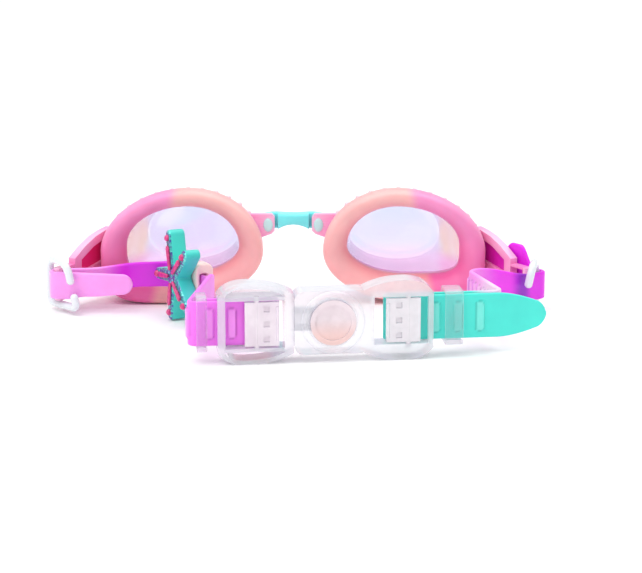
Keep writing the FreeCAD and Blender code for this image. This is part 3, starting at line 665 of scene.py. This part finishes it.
# ---------------------------------------------------------------- straps
def rounded_path(corners, arc_steps=14):
    """Places and headings along (x, y, radius) corners, with the corners rounded."""
    points = [Vector((x, y, 0)) for x, y, radius in corners]
    samples = [(points[0], (points[1] - points[0]).normalized())]
    for index in range(1, len(points) - 1):
        radius = corners[index][2]
        arriving = (points[index] - points[index - 1]).normalized()
        leaving = (points[index + 1] - points[index]).normalized()
        turn = math.atan2(arriving.x * leaving.y - arriving.y * leaving.x, arriving.dot(leaving))
        start = points[index] - arriving * (radius * math.tan(abs(turn) / 2))
        side = Vector((-arriving.y, arriving.x, 0)) * math.copysign(radius, turn)
        for step in range(arc_steps + 1):
            spin = Matrix.Rotation(turn * step / arc_steps, 3, "Z")
            samples.append((start + side + spin @ (-side), spin @ arriving))
    samples.append((points[-1], (points[-1] - points[-2]).normalized()))
    return samples


def stations(corners, spacing=0.5):
    """Evenly spaced (distance, place, heading) along a rounded path."""
    samples = rounded_path(corners)
    lengths = [0.0]
    for (before, _), (after, _) in zip(samples, samples[1:]):
        lengths.append(lengths[-1] + (after - before).length)
    count = int(lengths[-1] / spacing)
    made = []
    index = 0
    for step in range(count + 1):
        distance = lengths[-1] * step / count
        while index < len(samples) - 2 and lengths[index + 1] < distance:
            index += 1
        gap = lengths[index + 1] - lengths[index]
        share = (distance - lengths[index]) / gap if gap > 1e-9 else 0.0
        place = samples[index][0].lerp(samples[index + 1][0], share)
        heading = samples[index][1].lerp(samples[index + 1][1], share).normalized()
        made.append((distance, place, heading))
    return made


def between(pairs, value):
    """Smooth steps in a rising list of (key, (low, high)) pairs; the last pair holds on."""
    for (key_a, ends_a), (key_b, ends_b) in zip(pairs, pairs[1:]):
        if value <= key_b:
            share = smooth(key_a, key_b, value)
            return tuple(a + (b - a) * share for a, b in zip(ends_a, ends_b))
    return pairs[-1][1]


def rib_rise(distance, height_share, ribs):
    """Height of the strap's ribs at a distance along it and a place across it (-1 to 1)."""
    nearest = min((abs(distance - middle) for middle in ribs), default=math.inf)
    if nearest >= RIB_ALONG[1]:
        return 0.0
    along = 1 - smooth(*RIB_ALONG, nearest)
    rounding = 0.10 * (nearest / 1.5) ** 2
    across = 1 - smooth(RIB_ACROSS[0] - rounding, RIB_ACROSS[1] - rounding, abs(height_share))
    return RIB_HEIGHT * along * across


def make_strap(name, corners, heights, tip_lengths, ribs_from_end, tint, tail_taper=(1.0, 1.0)):
    """Silicone strap on edge: rounded edges, real raised ribs on its outer side, rounded tips."""
    half = STRAP_THICKNESS / 2
    path = stations(corners)
    total = path[-1][0]
    outer_steps = 22
    ribs = [total - back for back in ribs_from_end]
    taper_length, taper_share = tail_taper
    rings, tints = [], []
    for distance, place, heading in path:
        low, high = between(heights, distance)
        to_tip = max(0.02, min(distance / tip_lengths[0], (total - distance) / tip_lengths[1], 1))
        fullness = math.sqrt(1 - (1 - to_tip) ** 2)
        left_over = min((total - distance) / taper_length, 1.0)
        narrowing = taper_share + (1 - taper_share) * math.sin(left_over * math.pi / 2)
        middle, tall = (low + high) / 2, (high - low) / 2 * fullness * narrowing
        outward = Vector((heading.y, -heading.x, 0))
        edge = min(0.55, tall * 0.5)
        thin = 0.45 + 0.55 * min(1.0, fullness * 1.3)
        ring = []
        for step in range(outer_steps + 1):
            share = -1 + 2 * step / outer_steps
            rise = rib_rise(distance, share, ribs) if to_tip >= 1 else 0.0
            ring.append(place + outward * (half * thin + rise)
                        + Vector((0, 0, middle + (tall - edge) * share)))
        for angle in (60, 30, 0, -30, -60):
            turn = math.radians(angle)
            ring.append(place + outward * (half * thin * math.sin(turn))
                        + Vector((0, 0, middle + tall - edge + edge * math.cos(turn))))
        for step in range(7):
            share = 1 - step / 3
            ring.append(place - outward * (half * thin)
                        + Vector((0, 0, middle + (tall - edge) * share)))
        for angle in (-60, -30, 0, 30, 60):
            turn = math.radians(angle)
            ring.append(place + outward * (half * thin * math.sin(turn))
                        + Vector((0, 0, middle - tall + edge - edge * math.cos(turn))))
        rings.append([tuple(point) for point in ring])
        plain = tint(distance)
        for step in range(len(ring)):
            share = -1 + 2 * step / outer_steps
            rise = rib_rise(distance, share, ribs) / RIB_HEIGHT if share <= 1 else 0.0
            # painted highlight on the rib crests and painted shade round the rib feet
            crest_highlight = mix(plain, WHITE, 0.12 * smooth(0.75, 1.0, rise))
            foot = smooth(0.02, 0.3, rise) * (1 - smooth(0.5, 0.9, rise))
            tints.append(tuple(part * (1 - 0.3 * foot) for part in crest_highlight))
    strap = skin(name, rings)
    set_tints(strap.data, tints + [tints[0], tints[-1]])
    return strap


def left_strap_tint(distance):
    # partly the strap's own pink and magenta gradient and partly painted light: the pale stretches
    # stand for washed-out highlight
    run = mix(ORCHID, MAGENTA, smooth(47, 58, distance))
    return mix(run, srgb(240, 118, 236), smooth(84, 104, distance))


def right_strap_tint(distance):
    near_arm = mix(srgb(228, 30, 232), srgb(234, 48, 232), smooth(20, 40, distance))
    # painted shadow: a darker violet patch on the band beside the clip
    shaded = smooth(25, 29, distance) * (1 - smooth(30, 36, distance))
    near_arm = mix(near_arm, srgb(140, 20, 196), 0.9 * shaded)
    # partly the strap's own colour and partly painted light: the pale stretches stand for
    # washed-out highlight
    pale = mix(near_arm, srgb(244, 150, 236), smooth(40, 56, distance))
    pale = mix(pale, srgb(242, 214, 240), smooth(60, 76, distance))
    return mix(pale, TURQUOISE, smooth(86, 94, distance))


def make_left_strap():
    post_x, post_y = -POST.x, POST.y
    corners = [(-56.0, post_y - 5.6, 0),
               (post_x - WRAP_RADIUS, post_y - WRAP_RADIUS, WRAP_RADIUS),
               (post_x - WRAP_RADIUS, post_y + WRAP_RADIUS, WRAP_RADIUS),
               (-42.8, post_y + 5.5, 6.0),
               star_xy(16.0, 2.85) + (6.0,),
               clasp_xy(-46.8, -BAR_WRAP) + (2.2,),
               clasp_xy(-BAR_OFFSET + BAR_WRAP, -BAR_WRAP) + (BAR_WRAP - 0.01,),
               clasp_xy(-BAR_OFFSET + BAR_WRAP, BAR_WRAP) + (BAR_WRAP - 0.01,),
               clasp_xy(-43.0, BAR_WRAP) + (0,)]
    heights = [(0, (7.6, 14.8)), (16, (6.4, 15.0)), (24, FOLD_Z), (44, FOLD_Z),
               (64, (8.0, 17.0)), (86, (8.0, 17.6)), (100, (8.0, 17.6)), (114, STRAP_Z)]
    visible_ribs = [49.3 + RIB_PITCH * step for step in range(-2, 4)]
    return make_strap("left_strap_band", corners, heights, (3.6, 2.0), visible_ribs,
                      left_strap_tint)


def make_right_strap():
    outward = Vector((ARM_ALONG.y, -ARM_ALONG.x, 0))
    tip = POST + outward * WRAP_RADIUS + ARM_ALONG * 14.5
    loop_corner = POST + LOOSE_LOOP + LOOSE_LOOP.normalized() * LOOP_SPARE
    bend = POST + Vector((-21.9, -23.7, 0))
    corners = [(tip.x, tip.y, 0), (loop_corner.x, loop_corner.y, WRAP_RADIUS),
               (bend.x, bend.y, 4.0), clasp_xy(57.0, BAR_WRAP) + (3.0,),
               clasp_xy(BAR_OFFSET - BAR_WRAP, BAR_WRAP) + (BAR_WRAP - 0.01,),
               clasp_xy(BAR_OFFSET - BAR_WRAP, -BAR_WRAP) + (BAR_WRAP - 0.01,),
               clasp_xy(71.0, -BAR_WRAP) + (0,)]
    heights = [(0, (12.0, 22.8)), (7, (8.5, 22.6)), (13, FOLD_Z), (24, FOLD_Z), (52, STRAP_Z)]
    tail_ribs = [22.2 + RIB_PITCH * step for step in range(3)]
    run_ribs = [96.0 + RIB_PITCH / 2 * step for step in range(9)]
    return make_strap("right_strap_band", corners, heights, (3.6, 3.0), tail_ribs + run_ribs,
                      right_strap_tint, tail_taper=(17.0, 0.45))


# ---------------------------------------------------------------- plates and their outlines
def rounded_rectangle(low, high, radius, per_corner=6):
    """Outline of (u, v) places round a rectangle with rounded corners."""
    outline = []
    corners = [(high[0] - radius, high[1] - radius, 0), (low[0] + radius, high[1] - radius, 90),
               (low[0] + radius, low[1] + radius, 180), (high[0] - radius, low[1] + radius, 270)]
    for u, v, start in corners:
        for step in range(per_corner + 1):
            angle = math.radians(start + 90 * step / per_corner)
            outline.append((u + radius * math.cos(angle), v + radius * math.sin(angle)))
    return outline


def inset(outline, amount):
    """A closed outline moved inwards; the outline runs anticlockwise."""
    moved = []
    count = len(outline)
    for index, (u, v) in enumerate(outline):
        before, after = outline[index - 1], outline[(index + 1) % count]
        along_u, along_v = after[0] - before[0], after[1] - before[1]
        length = math.hypot(along_u, along_v) or 1.0
        moved.append((u - along_v / length * amount, v + along_u / length * amount))
    return moved


def edge_levels(low, high, radius, steps):
    """(depth, inset) pairs from one face of a plate to the other, rounding both its edges."""
    turns = [math.radians(90 * step / steps) for step in range(steps + 1)]
    levels = [(low + radius * (1 - math.cos(turn)), radius * (1 - math.sin(turn)))
              for turn in turns]
    return levels + [(low + high - depth, amount) for depth, amount in reversed(levels)]


def plate(name, outline, low, high, radius, to_world):
    """Plate between two depths with rounded edges; to_world turns (u, depth, v) into a place."""
    return skin(name, [[to_world(u, depth, v) for u, v in inset(outline, amount)]
                       for depth, amount in edge_levels(low, high, radius, 4)])


def frame_plate(name, outer, inner, low, high, radius, to_world):
    """Ring-shaped plate: outer and inner outlines have equally many places."""
    levels = edge_levels(low, high, radius, 3)
    rings = [[to_world(u, depth, v) for u, v in inset(outer, amount)]
             for depth, amount in levels]
    rings += [[to_world(u, depth, v) for u, v in inset(inner, -amount)]
              for depth, amount in reversed(levels)]
    return skin(name, rings, closed=True)


# ---------------------------------------------------------------- starfish charm
def star_place(u, depth, v):
    """u along the charm, depth out from its back (negative towards its face), v up."""
    place = STAR_BACK + STAR_ALONG * u + STAR_OUT * depth
    return place.x, place.y, place.z + v


def star_outline(valley=4.3, tip_half=2.0):
    """Five tapering arms with round tips and soft valleys, anticlockwise."""
    outline = []
    reach = STAR_RADIUS - tip_half
    angles = sorted(angle % (2 * math.pi) for angle in STAR_ARMS)
    for index, angle in enumerate(angles):
        gap = (angle - angles[index - 1]) % (2 * math.pi)
        for step in range(-2, 3):
            before = angle - gap / 2 + math.radians(6.0 * step)
            outline.append(((valley + 0.24 * step * step) * math.cos(before),
                            (valley + 0.24 * step * step) * math.sin(before)))
        for bend in range(-90, 91, 15):
            turn = angle + math.radians(bend)
            outline.append((reach * math.cos(angle) + tip_half * math.cos(turn),
                            reach * math.sin(angle) + tip_half * math.sin(turn)))
    return outline


def bar_outline(angle, near, far, near_half, far_half):
    """Tapering bar with round ends along one arm, anticlockwise."""
    outline = []
    for centre, half, start in ((near + near_half, near_half, 90), (far - far_half, far_half, -90)):
        for step in range(9):
            turn = angle + math.radians(start + 180 * step / 8)
            outline.append((centre * math.cos(angle) + half * math.cos(turn),
                            centre * math.sin(angle) + half * math.sin(turn)))
    return outline


def make_star(teal, face, pink, peach):
    body = plate("charm_body", star_outline(), -STAR_THICKNESS, 0.0, 0.9, star_place)
    set_material(body, teal)
    body.data.materials.append(face)
    forward = -STAR_OUT
    for polygon in body.data.polygons:
        centre = (polygon.center / MM - STAR_BACK).dot(STAR_OUT)
        if polygon.normal.dot(forward) > 0.5 and centre < -STAR_THICKNESS + 1.0:
            polygon.material_index = 1
    face_depth = -STAR_THICKNESS
    bars, studs = [], []
    for index, angle in enumerate(STAR_ARMS):
        outline = bar_outline(angle, 2.2, 10.8, 0.7, 1.0)
        bars.append(plate(f"bar_{index}", outline, face_depth - 0.9, face_depth, 0.4, star_place))
        centre = (STUD_AT * math.cos(angle), STUD_AT * math.sin(angle))
        rings = []
        for level in range(7):
            turn = math.radians(90 * level / 6.5)
            reach = STUD_RADIUS * math.cos(turn)
            depth = face_depth - STUD_RADIUS * math.sin(turn)
            rings.append([star_place(centre[0] + reach * math.cos(a), depth,
                                     centre[1] + reach * math.sin(a))
                          for a in around(18)])
        studs.append(skin(f"stud_{index}", rings))
    for piece in bars + studs:
        set_material(piece, pink)
    rays = join("charm_rays", bars)
    tips = join("charm_studs", studs)

    low, high = loop_low.z - STAR_BACK.z, loop_high.z - STAR_BACK.z
    outer = rounded_rectangle((LOOP_OUT[0] + 0.05, low), (LOOP_OUT[1], high), 2.2)
    inner = rounded_rectangle((1.4, low + 1.9), (4.3, high - 3.3), 0.8)

    def loop_place(u, depth, v):
        return star_place(depth, u, v)

    loop = frame_plate("charm_loop", outer, inner, *LOOP_ALONG, 0.6, loop_place)
    set_material(loop, peach)
    for piece, node in ((body, "star_body"), (rays, "star_rays"), (tips, "star_studs"),
                        (loop, "star_loop")):
        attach(piece, "charm")
        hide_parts(node)


# ---------------------------------------------------------------- nose bridge
def make_bridge(soft, peg_soft):
    """Soft arched bar with an end plate at each side, and a peg with a broad flat head."""
    low, high = box_mm("nose_bridge")
    bridge_top = high.z
    peg_x = abs(JOINTS["left_half_swing"]["pos_m"][0]) / MM
    peg_z = JOINTS["left_half_swing"]["pos_m"][2] / MM
    lug_front = JOINTS["left_half_swing"]["pos_m"][1] / MM + 1.5
    front = high.y
    thin_back, thick_back = lug_front + 0.5, low.y + 0.8
    stations_x = []
    reach = high.x
    for share in (0.0, 0.06, 0.14, 0.25):
        stations_x.append((reach - share * 4.0, math.sqrt(1 - (1 - share * 4) ** 2) if share
                           else 0.3))
    sections = []
    for x, full in stations_x:
        sections.append((x, thin_back, peg_z - 2.4 * full, peg_z + 0.6 + 3.0 * full))
    sections.append((7.4, thin_back, peg_z - 2.3, bridge_top))
    sections.append((5.9, thin_back, 24.7, bridge_top))
    for x in (5.5, 4.6, 3.4, 2.0, 0.0):
        sections.append((x, thick_back, 24.9 + 1.7 * (1 - (x / 5.6) ** 2), bridge_top - 0.25
                         * (1 - (x / 5.6) ** 2)))
    sections += [(-x, back, bottom, top) for x, back, bottom, top in reversed(sections[:-1])]
    rings = []
    for x, back, bottom, top in sections:
        radius = min(0.9, (top - bottom) * 0.4, (front - back) * 0.4)
        outline = rounded_rectangle((back, bottom), (front, top), radius, 4)
        rings.append([(x, u, v) for u, v in outline])
    bar = set_material(skin("bridge_bar", rings), soft)
    pegs = []
    for side in (-1, 1):
        rings = []
        for depth, size in ((thin_back + 0.3, 1.0), (low.y + 0.62, 1.0), (low.y + 0.6, 1.25),
                            (low.y + 0.3, 1.2), (low.y + 0.1, 1.0), (low.y, 0.65)):
            rings.append([(side * peg_x + PEG_HALF[0] * size * math.cos(a), depth,
                           peg_z + PEG_HALF[1] * size * math.sin(a))
                          for a in around(28)])
        pegs.append(set_material(skin(f"peg_{side + 1}", rings), peg_soft))
    bridge = join("nose_bridge_soft", [bar] + pegs)
    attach(bridge, "bridge")
    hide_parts("nose_bridge")


# ---------------------------------------------------------------- keepers
def make_keeper(node, body, material):
    """Clear loop with rounded edges round the strap's two layers."""
    low, high = box_mm(node)
    centre = (low + high) / 2
    along_centre = (centre - CLASP_CENTRE).dot(CLASP_ALONG)
    half_long = KEEPER_HALF_LONG[node]
    inner_across, inner_tall, wall = 3.55, STRAP_WIDE / 2 + 0.3, 1.3

    def place(u, depth, v):
        point = CLASP_CENTRE + CLASP_ALONG * depth + CLASP_IN * u
        return point.x, point.y, centre.z + v

    outer = rounded_rectangle((-inner_across - wall, -inner_tall - wall),
                              (inner_across + wall, inner_tall + wall), 1.2)
    inner = rounded_rectangle((-inner_across, -inner_tall), (inner_across, inner_tall), 0.4)
    loop = frame_plate(node + "_loop", outer, inner, along_centre - half_long,
                       along_centre + half_long, 0.35, place)
    set_material(loop, material)
    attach(loop, body)
    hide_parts(node)


# ---------------------------------------------------------------- spring washer
def make_spring(material):
    """Dished washer under the button; the real one flattens towards its floor as the button goes
    in, but this mesh keeps its dished shape.
    """
    low, high = box_mm("button_spring")
    centre = (low + high) / 2
    middle = CLASP_CENTRE + CLASP_ALONG * (centre - CLASP_CENTRE).dot(CLASP_ALONG)
    top, bottom = SPRING_DEPTHS
    small, large = SPRING_RADII
    land = 0.4                      # flat ring at each edge of the sheet
    profile = [(small, top), (small + land, top), (large, bottom - SPRING_SHEET),
               (large, bottom), (large - land, bottom), (small, top + SPRING_SHEET)]
    rings = []
    for radius, depth in profile:
        rings.append([])
        for turn in around(48):
            place = middle + CLASP_IN * depth + CLASP_ALONG * (radius * math.cos(turn))
            rings[-1].append((place.x, place.y, place.z + radius * math.sin(turn)))
    washer = set_material(skin("spring_washer", rings, closed=True), material)
    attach(washer, "right_half")
    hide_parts("button_spring")
    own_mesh(washer)


# ---------------------------------------------------------------- carried-over CAD nodes
def carry(node, material, bevel_mm=0.0):
    """Give a CAD node its finish, and softened edges through modifiers."""
    obj = NODES[node]
    set_material(obj, material)
    if bevel_mm:
        softened = obj.modifiers.new("soft_edges", "BEVEL")
        softened.width = bevel_mm * MM
        softened.segments = 2
        softened.limit_method = "ANGLE"
        softened.angle_limit = math.radians(40)
        softened.harden_normals = False
        normals = obj.modifiers.new("even_shading", "WEIGHTED_NORMAL")
        normals.keep_sharp = True


# ---------------------------------------------------------------- build the looks
soft_seal = silicone("seal_silicone", rough=0.45, glow=0.42)
strap_silicone = silicone("strap_silicone", rough=0.36, glow=0.3)
bridge_silicone = silicone("bridge_silicone", BRIDGE_AQUA, rough=0.35, glow=0.35)
peg_silicone = silicone("peg_silicone", PALE_AQUA, rough=0.35, glow=0.3)
star_silicone = silicone("charm_silicone", STAR_TEAL, rough=0.4, glow=0.1)
loop_silicone = silicone("loop_silicone", LOOP_PEACH, rough=0.3, glow=0.4)
star_glitter = glitter("charm_glitter")
# the darker colour is painted shade in the trim's valleys
star_trim = pebbled("charm_trim", HOT_PINK, srgb(190, 30, 110))
lens_coat = mirror_lens("lens_mirror_coat")
# the last colour of each is painted shade for the temple arm's recess walls
rim_plastics = {"left": rim_plastic_shaded_recesses("rim_plastic_left", -1, srgb(240, 44, 128)),
                "right": rim_plastic_shaded_recesses("rim_plastic_right", 1, srgb(214, 30, 180))}
stud_plastic = moulded("stud_pearl", srgb(250, 190, 200), 0.15, 0.8)
clip_plastic = moulded("clip_white_plastic", srgb(218, 224, 228), 0.22, 0.3)
clasp_plastic = clear_plastic("clasp_clear", CLEAR_TINT, 0.34, 0.8)
lever_plastic = clear_plastic("lever_clear", srgb(252, 243, 249), 0.66, 0.8)
keeper_plastic = clear_plastic("keeper_clear", srgb(240, 240, 244), 0.06, 0.6)
button_plastic = clear_plastic("button_blush", BLUSH, 0.7, 0.9, low_tint=srgb(252, 212, 206))
steel = spring_steel("spring_steel")

right_seal = set_material(make_seal(), soft_seal)
left_seal = mirrored_object(right_seal, "left_seal")
right_cup = set_material(make_lens(), lens_coat)
left_cup = mirrored_object(right_cup, "left_lens_cup")
left_band = set_material(make_left_strap(), strap_silicone)
right_band = set_material(make_right_strap(), strap_silicone)
for piece, node, body in ((right_seal, "right_gasket", "right_half"),
                          (left_seal, "left_gasket", "left_half"),
                          (right_cup, "right_lens", "right_half"),
                          (left_cup, "left_lens", "left_half"),
                          (left_band, "left_strap", "left_half"),
                          (right_band, "right_strap", "right_half")):
    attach(piece, body)
    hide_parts(node)
make_bridge(bridge_silicone, peg_silicone)
make_star(star_silicone, star_glitter, star_trim, loop_silicone)
make_keeper("left_keeper", "left_keeper", keeper_plastic)
make_keeper("right_keeper", "right_keeper", keeper_plastic)

for side in ("left", "right"):
    carry(side + "_frame", rim_plastics[side], 0.35)
    carry(side + "_frame_studs", stud_plastic)
    carry(side + "_clip", clip_plastic)
    carry(side + "_lever", lever_plastic, 0.3)
carry("clasp_plug", clasp_plastic, 0.3)
carry("clasp_socket", clasp_plastic, 0.3)
carry("release_button", button_plastic, 0.3)
make_spring(steel)


# ---------------------------------------------------------------- studio
def make_floor():
    size = 6.0
    mesh = bpy.data.meshes.new("studio_floor")
    mesh.from_pydata([(-size, -size, 0), (size, -size, 0), (size, size, 0), (-size, size, 0)], [],
                     [(0, 1, 2, 3)])
    floor = link_object("studio_floor", mesh)
    set_material(floor, floor_paper("floor_paper"))


def add_area_light(name, place, aim, size, energy):
    data = bpy.data.lights.new(name, "AREA")
    data.shape = "DISK"
    data.size = size
    data.energy = energy
    light = link_object(name, data)
    light.location = place
    light.rotation_euler = (Vector(aim) - Vector(place)).to_track_quat("-Z", "Y").to_euler()


def add_camera():
    """Camera behind the goggles, a little above, at a long lens."""
    distance, drop = 0.810, 13.5
    floor_angle = math.radians(13.9)
    data = bpy.data.cameras.new("camera")
    data.lens = 126.2
    data.sensor_width = 36.0
    camera = link_object("camera", data)
    camera.location = (0.010, 0.0045 - distance * math.cos(floor_angle),
                       distance * math.sin(floor_angle))
    camera.rotation_euler = (math.radians(90 - drop), 0, 0)
    bpy.context.scene.camera = camera


def add_world(strength):
    world = bpy.data.worlds.new("studio")
    world.use_nodes = True
    background = world.node_tree.nodes["Background"]
    background.inputs["Color"].default_value = (1.0, 1.0, 1.0, 1.0)
    background.inputs["Strength"].default_value = strength
    bpy.context.scene.world = world


make_floor()
add_world(0.8)
add_area_light("key_light", (-0.5, -0.5, 1.1), (0, 0, 0.02), 1.0, 7.6)
add_area_light("top_light", (0.3, 0.3, 1.3), (0, 0, 0.02), 1.4, 7.6)
add_camera()
bpy.context.scene.view_settings.view_transform = "Standard"
bpy.context.scene.cycles.transparent_max_bounces = 32
